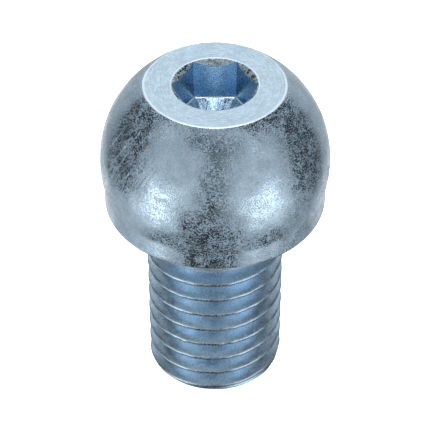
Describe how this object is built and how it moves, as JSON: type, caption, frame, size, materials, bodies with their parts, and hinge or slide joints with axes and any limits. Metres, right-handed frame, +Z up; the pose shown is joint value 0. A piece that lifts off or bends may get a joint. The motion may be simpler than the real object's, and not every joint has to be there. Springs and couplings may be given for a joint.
{
  "type": "ball head socket screw",
  "caption": "Forged screw whose head is a large ball with a flat top and a hexagon socket, on a short fully threaded metric shank.",
  "frame": {"origin": "centre of the tip's end face, the lowest point of the screw", "axes": "+Z up the screw's axis from the tip to the flat on the ball; X through two opposite corners of the hexagon socket; Y square to one pair of its flats"},
  "size_m": [0.0192, 0.0192, 0.0299],
  "materials": {
    "zinc_plating": "blue-white passivated zinc plating over cold-forged steel, satin with a fine grain"
  },
  "bodies": {
    "root": {"ball_head_screw": "zinc_plating"}
  },
  "joints": []
}
